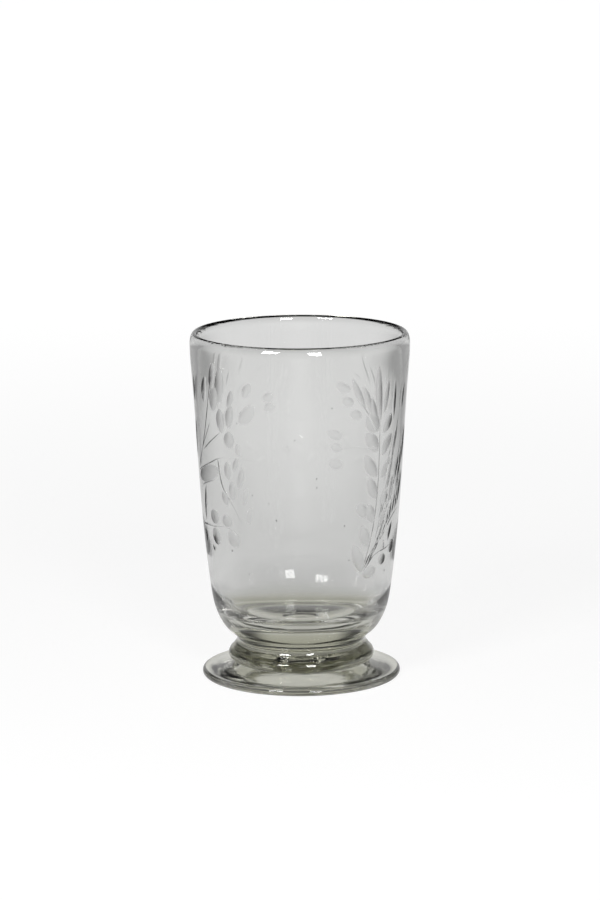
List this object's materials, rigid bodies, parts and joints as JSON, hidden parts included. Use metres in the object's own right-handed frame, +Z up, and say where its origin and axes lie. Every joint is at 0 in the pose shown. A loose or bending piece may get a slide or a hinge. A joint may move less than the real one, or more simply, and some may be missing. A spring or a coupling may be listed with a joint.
{
  "type": "mixing glass",
  "caption": "Footed clear mixing glass with a gently flared bowl, wheel-engraved leaf sprays and a rounded collar, for stirring drinks with ice.",
  "frame": {"origin": "on the glass's axis, at the level of the foot's resting ring", "axes": "+Z up along the glass's axis, out of the mouth; -Y is the front, midway between the two engraved sprays"},
  "size_m": [0.0918, 0.0918, 0.146],
  "materials": {
    "clear_glass": "clear, faintly grey-green, fire polished"
  },
  "bodies": {
    "root": {"bowl": "clear_glass", "collar": "clear_glass", "foot": "clear_glass"}
  },
  "joints": []
}
